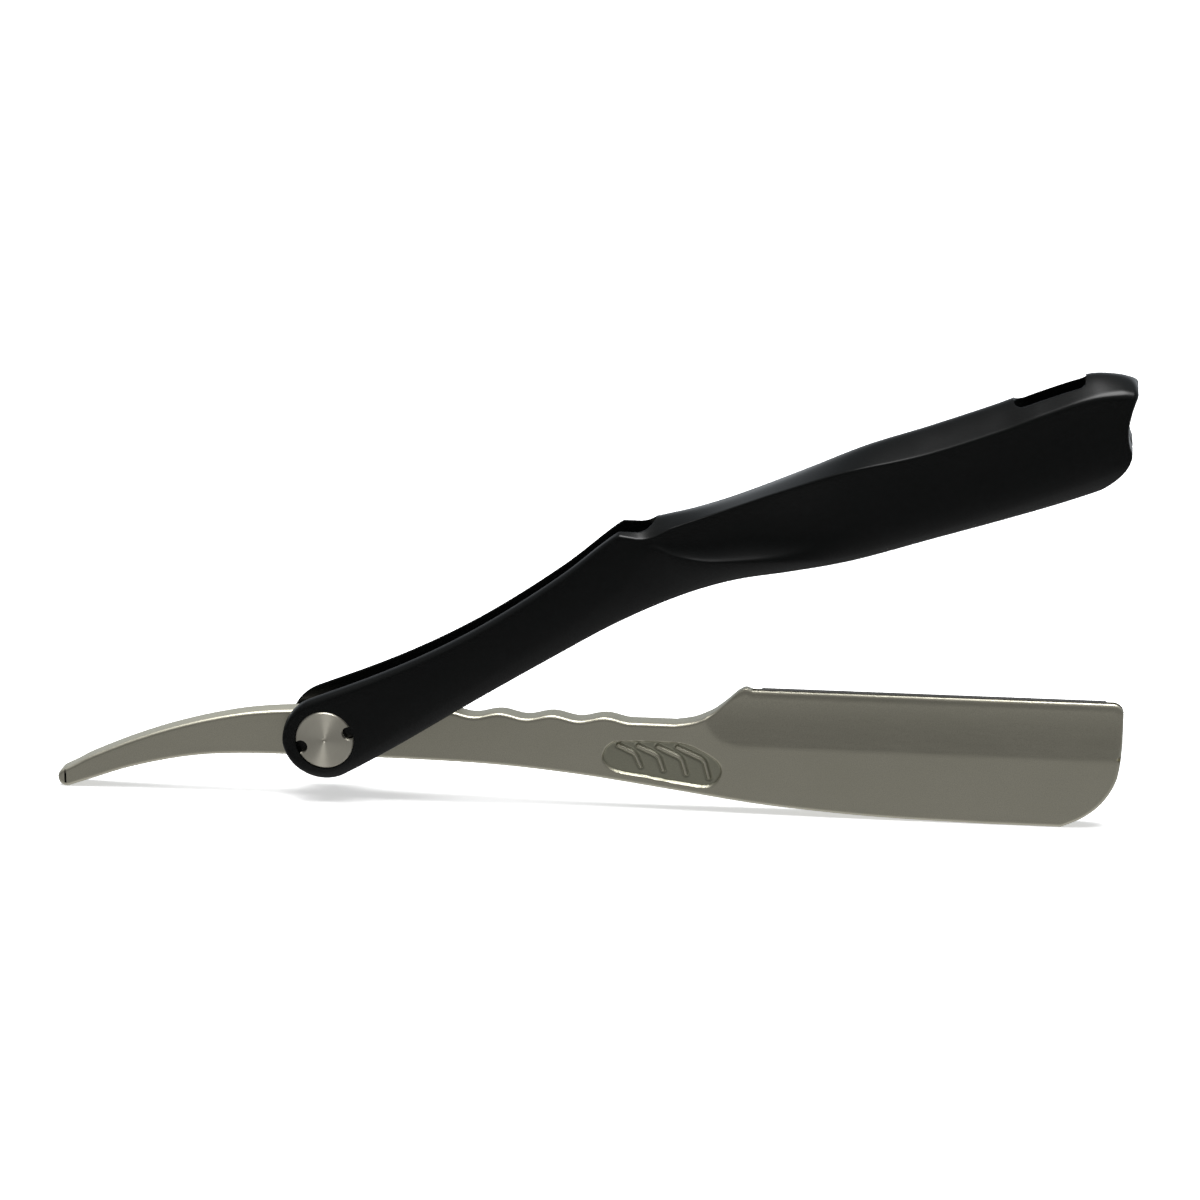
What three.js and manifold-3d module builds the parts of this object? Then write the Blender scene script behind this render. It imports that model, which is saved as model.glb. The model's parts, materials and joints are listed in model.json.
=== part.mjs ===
// A straight razor with replaceable blades: a steel blade arm that folds into a black moulded handle.
// Millimetres, +Z up. The razor stands open on the tip of its tail and on the spine of its head:
// +X runs towards the toe of the head, and Y is the thickness, with the screw side at -Y.
import * as THREE from "three";
import { mergeVertices } from "three/addons/utils/BufferGeometryUtils.js";
import Module from "manifold-3d";

const wasm = await Module();
wasm.setup();

// ---------- Driving dimensions ----------
const OPEN_ANGLE = THREE.MathUtils.degToRad(22); // the handle, swung up from its closed place
const PIVOT_HEIGHT = 11.83; // the pivot's height above the surface that the razor stands on
const PIVOT_X = -44.11; // the pivot's place along the razor, whose middle is at X = 0

const ARM_HALF = 2.1; // half the thickness of the blade arm
const ARM_EDGE = 0.6; // rounding of its edges
const TANG_BORE_R = 2.6;
const TAIL_TIP = { x: -47.35, z: -10.23, r: 1.6, lean: 1.1 }; // lean is the radian angle of its ends
const SHANK_TOP = 4.05;
const WAVE = { first: 16.4, pitch: 9.25, count: 4, height: 0.8 }; // finger waves on the shank
const HEAD = { heel: 73.4, bump: 0.35, toe: 137.95, top: 10.4, corner: 1.9, belly: -11.83 };
const JAW_HALF = 1.05; // half the head's thickness at its clamping edge
const HOLLOW = { radius: 35, foot: 0.8, heel: 65.2, round: 8 }; // the ground hollow of each side
const SLOT = { half: 0.45, heel: 74.2, floor: 3.2 }; // where the clip and the blade sit

const POCKET_DEPTH = 0.45; // the thumb pocket on each side of the arm
const RIB = { rise: 0.3, half: 0.32, first: 51.1, pitch: 3.43, top: -0.15, count: 4 };

const BLADE = { heel: 75.4, length: 60, edge: 10.8, back: 4.2, half: 0.13, bevel: 0.9, chamfer: 0.9 };
const CLIP = { outer: 0.4, inner: 0.18, fold: 3.5, top: 9.9, toe: 136 };
const CLIP_PIN = { r: 0.7, heel: 81, toe: 129, z: 3.9, front: -1.3 };

const GAP_HALF = 3.6; // half the width of the fork gap and of the channel
const LEG_HALF = 5.9; // half the handle's width over its two legs
const LEG_END_R = 7.55;
const LEG_END_RISE = 0.35; // the round ends of the legs sit a little above the pivot
const SHOULDER = 62.3; // where the roof begins
const FORK_END = 68.6; // the round end of the fork gap
const HANDLE_END = 153.1;
const CHANNEL_END = 146; // the wall that closes the channel runs from here to the handle's end
const BLADE_WAY = { half: 0.65, top: 9 }; // the slot in that wall, in line with the blade
const WINDOW = { from: 132.8, to: 145.5, half: 3.5, corner: 1.8 };

const HEAD_DISC = { r: 5.1, thick: 1.2, recess: 1.3, clearance: 0.12 };
const NOTCH = { r: 1.2, at: 4.45, angle: -4 }; // the two drive notches of each screw head
const BARREL = { outer: 2, inner: 1.5 };
const SCREW_R = 1.44;
const BUSH_INNER_R = 2.07;
const WASHER = { outer: 4.6, inner: 2.2 };

const STEEL = { color: 0x8f8a82, roughness: 0.42, metalness: 1 };
const BRIGHT_STEEL = { color: 0xb9b6b0, roughness: 0.25, metalness: 1 };
const BLACK = { color: 0x0c0c0e, roughness: 0.42, metalness: 0 };
const BRASS = { color: 0xb08d4a, roughness: 0.35, metalness: 1 };
const NYLON = { color: 0x2a2a2c, roughness: 0.5, metalness: 0 };

// ---------- Solids ----------
// A closed geometry as a solid that can be joined and cut.
function solid(geometry) {
  const bare = geometry.clone();
  bare.deleteAttribute("normal");
  bare.deleteAttribute("uv");
  const merged = mergeVertices(bare, 1e-4);
  const index = merged.index.array;
  return new wasm.Manifold(
    new wasm.Mesh({
      numProp: 3,
      vertProperties: new Float32Array(merged.attributes.position.array),
      triVerts: new Uint32Array(index),
    }),
  );
}

// A named mesh of a solid, in its own material.
function piece(name, body, look) {
  const made = body.getMesh();
  const geometry = new THREE.BufferGeometry();
  geometry.setAttribute("position", new THREE.BufferAttribute(made.vertProperties, 3));
  geometry.setIndex(new THREE.BufferAttribute(made.triVerts, 1));
  const mesh = new THREE.Mesh(geometry, new THREE.MeshStandardMaterial(look));
  mesh.name = name;
  return mesh;
}

const point = ([x, y]) => new THREE.Vector2(x, y);

// A side-view outline (X, Z) as a plate from y0 to y1, with its edges rounded where edge is given.
function plate(shape, y0, y1, edge = 0, curveSegments = 4) {
  const geometry = new THREE.ExtrudeGeometry(shape, {
    depth: y1 - y0 - 2 * edge,
    curveSegments,
    bevelEnabled: edge > 0,
    bevelThickness: edge,
    bevelSize: edge,
    bevelOffset: -edge,
    bevelSegments: 2,
  });
  geometry.rotateX(Math.PI / 2);
  geometry.translate(0, y1 - edge, 0);
  return solid(geometry);
}

// A plan outline (X, Y) as a block from z0 to z1.
function block(shape, z0, z1) {
  const geometry = new THREE.ExtrudeGeometry(shape, {
    depth: z1 - z0,
    curveSegments: 6,
    bevelEnabled: false,
  });
  geometry.translate(0, 0, z0);
  return solid(geometry);
}

// A cross-section (Y, Z) as a bar from x0 to x1.
function bar(shape, x0, x1) {
  const geometry = new THREE.ExtrudeGeometry(shape, { depth: x1 - x0, bevelEnabled: false });
  const turn = new THREE.Matrix4().makeBasis(
    new THREE.Vector3(0, 1, 0),
    new THREE.Vector3(0, 0, 1),
    new THREE.Vector3(1, 0, 0),
  );
  geometry.applyMatrix4(turn);
  geometry.translate(x0, 0, 0);
  return solid(geometry);
}

// A round rod along Y, from y0 to y1, at (x, z).
function rod(radius, y0, y1, x = 0, z = 0, segments = 48) {
  const geometry = new THREE.CylinderGeometry(radius, radius, y1 - y0, segments);
  geometry.translate(x, (y0 + y1) / 2, z);
  return solid(geometry);
}

function box(x0, x1, y0, y1, z0, z1) {
  const geometry = new THREE.BoxGeometry(x1 - x0, y1 - y0, z1 - z0);
  geometry.translate((x0 + x1) / 2, (y0 + y1) / 2, (z0 + z1) / 2);
  return solid(geometry);
}

// A skin over rings of points, all of one length, with its two ends closed, or joined to each other.
function skin(rings, endless = false) {
  const count = rings[0].length;
  const vertices = rings.flat(2);
  const index = [];
  const spans = endless ? rings.length : rings.length - 1;
  for (let i = 0; i < spans; i++) {
    const next = (i + 1) % rings.length;
    for (let j = 0; j < count; j++) {
      const k = (j + 1) % count;
      const [a, b, c, d] = [i * count + j, i * count + k, next * count + j, next * count + k];
      index.push(a, b, c, b, d, c);
    }
  }
  if (!endless) {
    const outline = (ring) => ring.map(([, y, z]) => new THREE.Vector2(y, z));
    const last = (rings.length - 1) * count;
    for (const [a, b, c] of THREE.ShapeUtils.triangulateShape(outline(rings[0]), [])) {
      index.push(a, c, b);
    }
    for (const [a, b, c] of THREE.ShapeUtils.triangulateShape(outline(rings.at(-1)), [])) {
      index.push(last + a, last + b, last + c);
    }
  }
  const geometry = new THREE.BufferGeometry();
  geometry.setAttribute("position", new THREE.Float32BufferAttribute(vertices, 3));
  geometry.setIndex(index);
  return solid(geometry);
}

// A smooth function through [place, value] pairs, level beyond its ends.
function smooth(pairs) {
  const last = pairs.length - 1;
  const slope = pairs.map((_, i) => {
    const [before, after] = [pairs[Math.max(i - 1, 0)], pairs[Math.min(i + 1, last)]];
    return (after[1] - before[1]) / (after[0] - before[0]);
  });
  return (u) => {
    if (u <= pairs[0][0]) return pairs[0][1];
    if (u >= pairs[last][0]) return pairs[last][1];
    const i = pairs.findIndex(([place]) => place > u) - 1;
    const span = pairs[i + 1][0] - pairs[i][0];
    const t = (u - pairs[i][0]) / span;
    const [t2, t3] = [t * t, t * t * t];
    return (
      (2 * t3 - 3 * t2 + 1) * pairs[i][1] +
      (t3 - 2 * t2 + t) * span * slope[i] +
      (3 * t2 - 2 * t3) * pairs[i + 1][1] +
      (t3 - t2) * span * slope[i + 1]
    );
  };
}

// ---------- Blade arm: tail, tang, shank and head in one piece of steel ----------
function armOutline() {
  const { x, z, r, lean } = TAIL_TIP;
  const shape = new THREE.Shape();
  shape.moveTo(x - r * Math.cos(lean), z + r * Math.sin(lean));
  const tail = [
    [-45.9, -7.7],
    [-42.5, -5.85],
    [-35, -2.6],
    [-28, -0.1],
    [-20.6, 1.95],
    [-13, 3.4],
    [-4, 4.1],
    [8, 4.15],
    [WAVE.first, SHANK_TOP],
  ];
  shape.splineThru(tail.map(point));
  const steps = WAVE.count * 8;
  for (let i = 1; i <= steps; i++) {
    const along = (i / 8) * WAVE.pitch;
    const rise = (WAVE.height / 2) * (1 - Math.cos((i / 8) * 2 * Math.PI));
    shape.lineTo(WAVE.first + along, SHANK_TOP + rise);
  }
  shape.lineTo(61, SHANK_TOP);
  const heel = [
    [64.3, 4.7],
    [67.2, 6.1],
    [69.8, 8.2],
    [71.6, 9.9],
    [HEAD.heel - 0.7, HEAD.top + HEAD.bump * 0.7],
    [HEAD.heel, HEAD.top + HEAD.bump],
    [HEAD.heel + 1, HEAD.top],
  ];
  shape.splineThru(heel.map(point));
  const corner = HEAD.corner;
  shape.lineTo(HEAD.toe - corner, HEAD.top);
  shape.absarc(HEAD.toe - corner, HEAD.top - corner, corner, Math.PI / 2, 0, true);
  const belly = [
    [HEAD.toe - 0.15, 1.2],
    [HEAD.toe - 0.95, -3.4],
    [HEAD.toe - 3.2, -7.3],
    [HEAD.toe - 6.3, -10],
    [HEAD.toe - 10, HEAD.belly],
  ];
  shape.lineTo(HEAD.toe, 5.5);
  shape.splineThru(belly.map(point));
  shape.lineTo(115, HEAD.belly);
  const spine = [
    [100, -11.55],
    [88, -10.97],
    [75, -9.88],
    [60, -7.88],
    [45, -5.93],
    [30, -4.68],
    [15, -4.29],
    [0, -4.28],
    [-15, -4.44],
    [-25, -5.35],
    [-35, -7.62],
    [-42.5, -10.2],
    [x + r * Math.cos(lean), z - r * Math.sin(lean)],
  ];
  shape.splineThru(spine.map(point));
  shape.absarc(x, z, r, -lean, -lean - Math.PI, true);
  return shape;
}

// The ground hollow on one side of the head: a long drum with a rounded heel end.
function hollowDrum(side) {
  const { radius, foot, heel, round } = HOLLOW;
  const lean = Math.atan2(ARM_HALF - JAW_HALF, HEAD.top - foot);
  const chord = Math.hypot(ARM_HALF - JAW_HALF, HEAD.top - foot);
  const away = Math.sqrt(radius ** 2 - (chord / 2) ** 2);
  const y = (ARM_HALF + JAW_HALF) / 2 + away * Math.cos(lean);
  const z = (HEAD.top + foot) / 2 + away * Math.sin(lean);
  const profile = [new THREE.Vector2(0, heel)];
  for (let i = 0; i <= 8; i++) {
    const turn = (i / 8) * (Math.PI / 2);
    const out = radius - 1.6 * (1 - Math.sin(turn));
    profile.push(new THREE.Vector2(out, heel + round * (1 - Math.cos(turn))));
  }
  profile.push(new THREE.Vector2(radius, HEAD.toe + 5), new THREE.Vector2(0, HEAD.toe + 5));
  const geometry = new THREE.LatheGeometry(profile, 180);
  geometry.rotateZ(-Math.PI / 2);
  geometry.translate(0, side * y, z);
  return solid(geometry);
}

// The thumb pocket, a rounded wedge that is taller towards the head.
function pocketShape() {
  const shape = new THREE.Shape();
  shape.moveTo(50.2, 0.65);
  const rim = [
    [56, 0.95],
    [62.3, 0.8],
    [65.8, -0.5],
    [68.7, -2.5],
    [69.1, -5],
    [66.8, -7.15],
    [61.4, -6.7],
    [55.2, -5.7],
    [50.4, -4.9],
    [48.3, -2.9],
    [48.8, -0.6],
    [50.2, 0.65],
  ];
  shape.splineThru(rim.map(point));
  return shape;
}

// One bent rib of the pocket: a slanting stroke that turns down at its end.
function ribShape(x, z, reach, drop) {
  const { half } = RIB;
  const shape = new THREE.Shape();
  shape.moveTo(x - half * 0.6, z - half);
  shape.lineTo(x + reach - half, z - drop * 0.4 - half);
  shape.lineTo(x + reach + 0.9 - half, z - drop);
  shape.absarc(x + reach + 0.9, z - drop, half, Math.PI, 2 * Math.PI, false);
  shape.lineTo(x + reach + half, z - drop * 0.4 + half * 0.6);
  shape.lineTo(x + half * 0.2, z + half);
  shape.closePath();
  return shape;
}

function bladeArm() {
  let arm = plate(armOutline(), -ARM_HALF, ARM_HALF, ARM_EDGE);
  arm = arm.subtract(hollowDrum(1)).subtract(hollowDrum(-1));
  arm = arm.subtract(box(SLOT.heel, HEAD.toe + 2, -SLOT.half, SLOT.half, SLOT.floor, HEAD.top + 2));
  arm = arm.subtract(rod(TANG_BORE_R, -5, 5));
  for (const x of [CLIP_PIN.heel, CLIP_PIN.toe]) {
    arm = arm.subtract(rod(CLIP_PIN.r + 0.03, CLIP_PIN.front, 5, x, CLIP_PIN.z, 24));
  }
  const floor = ARM_HALF - POCKET_DEPTH;
  for (const side of [-1, 1]) {
    const span = (low, high) => (side > 0 ? [low, high] : [-high, -low]);
    arm = arm.subtract(plate(pocketShape(), ...span(floor, ARM_HALF + 1)));
    for (let i = 0; i < RIB.count; i++) {
      const rib = ribShape(RIB.first + i * RIB.pitch, RIB.top, 3 + 0.55 * i, 3.65 + 0.55 * i);
      arm = arm.add(plate(rib, ...span(floor - 0.1, floor + RIB.rise), 0, 3));
    }
  }
  return piece("blade_arm", arm, STEEL);
}

// ---------- Blade clip and blade in the head ----------
function clampSpring() {
  const { outer, inner, fold, top } = CLIP;
  const section = new THREE.Shape();
  section.moveTo(outer, top);
  section.lineTo(outer, fold + 0.1);
  section.lineTo(outer - 0.15, fold - 0.1);
  section.lineTo(-outer + 0.15, fold - 0.1);
  section.lineTo(-outer, fold + 0.1);
  section.lineTo(-outer, top);
  section.lineTo(-inner, top);
  section.lineTo(-inner, fold + 0.2);
  section.lineTo(inner, fold + 0.2);
  section.lineTo(inner, top);
  section.closePath();
  let spring = bar(section, SLOT.heel + 0.3, CLIP.toe);
  for (const x of [CLIP_PIN.heel, CLIP_PIN.toe]) {
    spring = spring.subtract(rod(CLIP_PIN.r + 0.05, -1, 1, x, CLIP_PIN.z, 24));
  }
  return piece("clamp_spring", spring, BRIGHT_STEEL);
}

function clampPin(name, x) {
  const back = ARM_HALF - 0.3;
  return piece(name, rod(CLIP_PIN.r, CLIP_PIN.front + 0.05, back, x, CLIP_PIN.z, 24), BRIGHT_STEEL);
}

function razorBlade() {
  const { heel, length, edge, back, half, bevel, chamfer } = BLADE;
  const section = new THREE.Shape();
  section.moveTo(-half, back + 0.6);
  section.lineTo(half, back + 0.6);
  section.lineTo(half, edge - bevel);
  section.lineTo(0, edge);
  section.lineTo(-half, edge - bevel);
  section.closePath();
  const outline = new THREE.Shape();
  outline.moveTo(heel, back);
  outline.lineTo(heel + length, back);
  outline.lineTo(heel + length, edge - chamfer);
  outline.lineTo(heel + length - chamfer, edge + 0.1);
  outline.lineTo(heel + chamfer, edge + 0.1);
  outline.lineTo(heel, edge - chamfer);
  outline.closePath();
  const strip = bar(section, heel - 1, heel + length + 1);
  return piece("razor_blade", strip.intersect(plate(outline, -1, 1)), BRIGHT_STEEL);
}

// ---------- Handle, in its own frame: X from the pivot to its end, Z from its open side to its roof ----
const legTop = smooth([
  [0, LEG_END_R + LEG_END_RISE],
  [12, 7.95],
  [22, 8.3],
  [32, 9.55],
  [42, 11.5],
  [52, 14.1],
  [SHOULDER, 17.3],
]);
const bodyTop = smooth([
  [SHOULDER, 17.3],
  [70, 15.9],
  [80, 14.7],
  [91, 14.75],
  [106, 15.6],
  [122, 15.3],
  [138, 14.6],
  [146, 14.05],
  [150.5, 12.8],
  [HANDLE_END, 10.9],
]);
const bottom = smooth([
  [0, LEG_END_RISE - LEG_END_R],
  [4, -6.7],
  [12, -5.4],
  [28, -2.4],
  [44, 0.35],
  [56, 2.2],
  [68, 3],
  [78, 2.45],
  [88, 0.55],
  [98, -1.05],
  [112, -2.1],
  [130, -3.4],
  [140, -3.8],
  [HANDLE_END, -3.8],
]);
const creaseWidth = smooth([
  [0, 5.4],
  [30, 5.1],
  [58, 4.8],
  [67, 5.5],
  [73, 4.9],
  [80, 4.4],
  [88, 4.7],
  [100, 6.3],
  [110, 6.85],
  [124, 6.9],
  [142, 6.8],
  [149, 6.5],
  [HANDLE_END, 5.8],
]);
const creaseDrop = smooth([
  [0, 0.7],
  [50, 0.9],
  [61, 0.8],
  [66.2, 2.1],
  [71.5, 1],
  [80, 0.3],
  [90, 0.4],
  [100, 1.05],
  [112, 2.5],
  [126, 2.9],
  [146, 2.6],
  [HANDLE_END, 1.5],
]);
const lipHeight = smooth([
  [0, -4.4],
  [20, 0.5],
  [40, 5],
  [60, 10.5],
  [67, 12.6],
  [70, 10.2],
  [74.5, 7.6],
  [80, 5.7],
  [88, 3.6],
  [96, 2.4],
  [118, 1.4],
  [HANDLE_END, 1.6],
]);
const lipWidth = smooth([
  [0, LEG_HALF],
  [62, LEG_HALF],
  [74, 6.2],
  [88, 6.8],
  [100, 7.3],
  [118, 7.6],
  [142, 7.4],
  [HANDLE_END, 6.2],
]);
const sideCurl = smooth([
  [0, 0.3],
  [55, 0.45],
  [64, 0.9],
  [67, 2.2],
  [70, 3],
  [74, 3.5],
  [80, 3],
  [88, 3.6],
  [96, 3],
  [106, 2],
]); // under 1 the side bulges out below the crease, and over 1 it is scooped
const bottomWidth = smooth([
  [0, 4.9],
  [70, 4.7],
  [100, 5.1],
  [140, 5.1],
  [HANDLE_END, 4.6],
]);

// The handle's outer skin at one station: crowned roof, crease, scooped side, lip and rounded lower flank.
function handleRing(u) {
  const top = u < SHOULDER ? legTop(u) : bodyTop(u);
  const [width, low] = [creaseWidth(u), bottom(u)];
  const crease = top - creaseDrop(u);
  const [lip, reach, foot] = [lipHeight(u), lipWidth(u), bottomWidth(u)];
  const half = [];
  for (let i = 1; i <= 3; i++) half.push([(width * i) / 3, top - (top - crease) * (i / 3) ** 1.7]);
  for (let i = 1; i <= 5; i++) {
    const s = i / 5;
    half.push([width + (reach - width) * s ** sideCurl(u), crease + (lip - crease) * s]);
  }
  for (let i = 1; i <= 5; i++) {
    const turn = (i / 5) * (Math.PI / 2);
    half.push([foot + (reach - foot) * Math.cos(turn), lip + (low - lip) * Math.sin(turn)]);
  }
  const near = half.map(([y, z]) => [u, -y, z]);
  const far = half.map(([y, z]) => [u, y, z]).reverse();
  return [[u, 0, top], ...near, [u, 0, low], ...far];
}

// The pivot end of the two legs, before the gap is cut: a disc with rounded rims.
function legEnd() {
  const [r, w] = [LEG_END_R, LEG_HALF];
  const profile = [
    [0, -w],
    [r - 1.1, -w],
    [r - 0.35, -w + 0.3],
    [r, -w + 1.1],
    [r, w - 1.1],
    [r - 0.35, w - 0.3],
    [r - 1.1, w],
    [0, w],
  ];
  return solid(new THREE.LatheGeometry(profile.map(point), 64)).translate([0, 0, LEG_END_RISE]);
}

// What the concave, fish-tailed end leaves out.
function tailCut() {
  const shape = new THREE.Shape();
  shape.moveTo(HANDLE_END + 6, -9);
  shape.lineTo(138, -9);
  shape.lineTo(138, -4.4);
  const end = [
    [143, -3.4],
    [146.5, -2],
    [148.2, 0],
    [148.4, 2.2],
    [149.2, 4.6],
    [150.7, 6.9],
    [152.4, 8.9],
    [153, 10.6],
    [152, 12.2],
    [149.5, 13.7],
  ];
  shape.splineThru(end.map(point));
  shape.lineTo(149.5, 17);
  shape.lineTo(HANDLE_END + 6, 17);
  shape.closePath();
  return plate(shape, -12, 12);
}

// The channel under the roof that the head folds into, open along its foot and walled off at its toe end.
function channelCut() {
  const shape = new THREE.Shape();
  shape.moveTo(SHOULDER - 2, -14);
  shape.lineTo(CHANNEL_END, -14);
  shape.lineTo(CHANNEL_END, 10.8);
  shape.absarc(CHANNEL_END - 1, 10.8, 1, 0, Math.PI / 2, false);
  shape.lineTo(132, 12.2);
  shape.lineTo(104, 12.8);
  shape.lineTo(SHOULDER - 2, 12.6);
  shape.closePath();
  return plate(shape, -GAP_HALF, GAP_HALF);
}

// The slot that lets the blade through the end wall, so that it can be changed with the razor closed.
function bladeWayCut() {
  const { half, top } = BLADE_WAY;
  return box(CHANNEL_END - 1, HANDLE_END + 6, -half, half, -14, top);
}

// The gap between the legs, open above and below, with a round end.
function forkCut() {
  const shape = new THREE.Shape();
  shape.moveTo(-12, -GAP_HALF);
  shape.lineTo(FORK_END - GAP_HALF, -GAP_HALF);
  shape.absarc(FORK_END - GAP_HALF, 0, GAP_HALF, -Math.PI / 2, Math.PI / 2, false);
  shape.lineTo(-12, GAP_HALF);
  shape.closePath();
  return block(shape, -14, 24);
}

// The window in the roof, over the toe of the closed head.
function windowCut() {
  const { from, to, half, corner } = WINDOW;
  const shape = new THREE.Shape();
  shape.moveTo(from + corner, -half);
  shape.lineTo(to - corner, -half);
  shape.absarc(to - corner, -half + corner, corner, -Math.PI / 2, 0, false);
  shape.absarc(to - corner, half - corner, corner, 0, Math.PI / 2, false);
  shape.absarc(from + corner, half - corner, corner, Math.PI / 2, Math.PI, false);
  shape.absarc(from + corner, -half + corner, corner, Math.PI, 1.5 * Math.PI, false);
  shape.closePath();
  return block(shape, 6, 20);
}

function handle() {
  const stations = [];
  for (let u = 0; u < SHOULDER - 1; u += 3.2) stations.push(u);
  stations.push(SHOULDER);
  for (let u = SHOULDER + 1.6; u < 82; u += 1.6) stations.push(u);
  for (let u = 83; u < 145; u += 3.1) stations.push(u);
  stations.push(145.5, 147, 148.5, 150, 151.5, HANDLE_END);
  let body = skin(stations.map(handleRing)).add(legEnd());
  body = body.subtract(tailCut()).subtract(channelCut()).subtract(bladeWayCut());
  body = body.subtract(forkCut()).subtract(windowCut()).subtract(rod(BARREL.outer + 0.15, -9, 9));
  const seat = LEG_HALF - HEAD_DISC.recess;
  const wide = HEAD_DISC.r + HEAD_DISC.clearance;
  body = body.subtract(rod(wide, seat, 9)).subtract(rod(wide, -9, -seat));
  return piece("handle", body, BLACK);
}

// ---------- Pivot: two-notch screw and barrel nut, bush, spacer washers and wave washer ----------
// A flat round head with two drive notches, between y0 and y1.
function notchedHead(y0, y1) {
  let head = rod(HEAD_DISC.r, y0, y1);
  for (const turn of [0, 180]) {
    const angle = THREE.MathUtils.degToRad(NOTCH.angle + turn);
    const [x, z] = [NOTCH.at * Math.cos(angle), NOTCH.at * Math.sin(angle)];
    head = head.subtract(rod(NOTCH.r, y0 - 1, y1 + 1, x, z, 24));
  }
  return head;
}

function pivotScrew() {
  const outside = -LEG_HALF + 0.05;
  const head = notchedHead(outside, outside + HEAD_DISC.thick);
  return piece("pivot_screw", head.add(rod(SCREW_R, outside + 0.6, 4)), BRIGHT_STEEL);
}

function pivotBarrel() {
  const outside = LEG_HALF - 0.05;
  const head = notchedHead(outside - HEAD_DISC.thick, outside);
  const sleeve = rod(BARREL.outer, -4.5, outside - 0.6);
  const bore = rod(BARREL.inner, -6, 4.3);
  return piece("pivot_barrel", head.add(sleeve).subtract(bore), BRIGHT_STEEL);
}

function tangBush() {
  const half = ARM_HALF + 0.03;
  const bush = rod(TANG_BORE_R - 0.04, -half, half).subtract(rod(BUSH_INNER_R, -4, 4));
  return piece("tang_bush", bush, BRASS);
}

function thrustWasher(name, y0, y1) {
  return piece(name, rod(WASHER.outer, y0, y1).subtract(rod(WASHER.inner, y0 - 1, y1 + 1)), NYLON);
}

// A thin spring washer bent into three waves.
function waveWasher(middle) {
  const [thin, swing, steps] = [0.1, 0.1, 60];
  const rings = [];
  for (let i = 0; i < steps; i++) {
    const turn = (i / steps) * 2 * Math.PI;
    const y = middle + swing * Math.cos(3 * turn);
    const corners = [
      [WASHER.inner + 0.1, -thin],
      [WASHER.outer - 0.2, -thin],
      [WASHER.outer - 0.2, thin],
      [WASHER.inner + 0.1, thin],
    ];
    rings.push(corners.map(([r, dy]) => [r * Math.cos(turn), y + dy, r * Math.sin(turn)]));
  }
  return piece("wave_washer", skin(rings, true), BRIGHT_STEEL);
}

// ---------- The razor ----------
const armGroup = new THREE.Group();
armGroup.add(
  bladeArm(),
  tangBush(),
  clampSpring(),
  clampPin("clamp_pin_heel", CLIP_PIN.heel),
  clampPin("clamp_pin_toe", CLIP_PIN.toe),
  razorBlade(),
);

const handleGroup = new THREE.Group();
handleGroup.rotation.y = -OPEN_ANGLE;
handleGroup.add(
  handle(),
  pivotScrew(),
  pivotBarrel(),
  thrustWasher("front_thrust_washer", -GAP_HALF + 0.05, -ARM_HALF - 0.08),
  thrustWasher("rear_thrust_washer", ARM_HALF + 0.08, GAP_HALF - 0.5),
  waveWasher(GAP_HALF - 0.25),
);

const razor = new THREE.Group();
razor.name = "straight_razor";
razor.position.set(PIVOT_X, 0, PIVOT_HEIGHT);
razor.add(armGroup, handleGroup);

export default razor;
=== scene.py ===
# A straight razor with replaceable blades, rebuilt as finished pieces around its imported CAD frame.
# Sizes are in millimetres from the pivot, as on a maker's drawing, and become metres in each mesh.
import json
import math

import bmesh
import bpy
import numpy as np
from mathutils import Matrix, Vector
from mathutils.geometry import tessellate_polygon


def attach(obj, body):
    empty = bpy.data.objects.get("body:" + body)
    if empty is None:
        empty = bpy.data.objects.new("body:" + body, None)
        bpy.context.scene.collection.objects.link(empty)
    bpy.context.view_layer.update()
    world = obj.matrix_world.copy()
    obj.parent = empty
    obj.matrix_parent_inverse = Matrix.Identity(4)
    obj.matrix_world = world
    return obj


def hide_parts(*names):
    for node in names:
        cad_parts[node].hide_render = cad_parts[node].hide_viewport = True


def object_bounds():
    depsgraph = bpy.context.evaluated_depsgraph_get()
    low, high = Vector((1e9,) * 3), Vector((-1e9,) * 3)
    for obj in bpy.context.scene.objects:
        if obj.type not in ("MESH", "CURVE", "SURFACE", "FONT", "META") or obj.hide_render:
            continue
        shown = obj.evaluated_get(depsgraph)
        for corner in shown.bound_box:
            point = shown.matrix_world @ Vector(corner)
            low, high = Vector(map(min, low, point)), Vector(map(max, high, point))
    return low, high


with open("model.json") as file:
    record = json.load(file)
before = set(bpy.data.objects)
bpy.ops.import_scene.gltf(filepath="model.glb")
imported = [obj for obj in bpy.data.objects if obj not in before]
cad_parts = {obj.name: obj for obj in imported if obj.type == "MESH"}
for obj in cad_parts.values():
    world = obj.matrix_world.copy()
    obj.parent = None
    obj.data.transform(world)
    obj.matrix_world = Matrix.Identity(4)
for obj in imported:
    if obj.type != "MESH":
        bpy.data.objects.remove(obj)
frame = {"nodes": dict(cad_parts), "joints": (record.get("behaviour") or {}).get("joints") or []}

cad_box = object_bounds()

# ---------- Studio ----------
# A pale floor in a soft tent that is bright overhead, dim at the back and dimmer in front. The floor isn't
# seen in the steel, as if the razor stood on a glass shelf. The camera looks from the screw side, from a
# little above.
CAMERA_DISTANCE = 0.7
CAMERA_TURN = math.radians(7)
CAMERA_RISE = math.radians(17)
CAMERA_LENS = 121.8
AIM_SHIFT = Vector((0.00312, 0, -0.00263))

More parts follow.
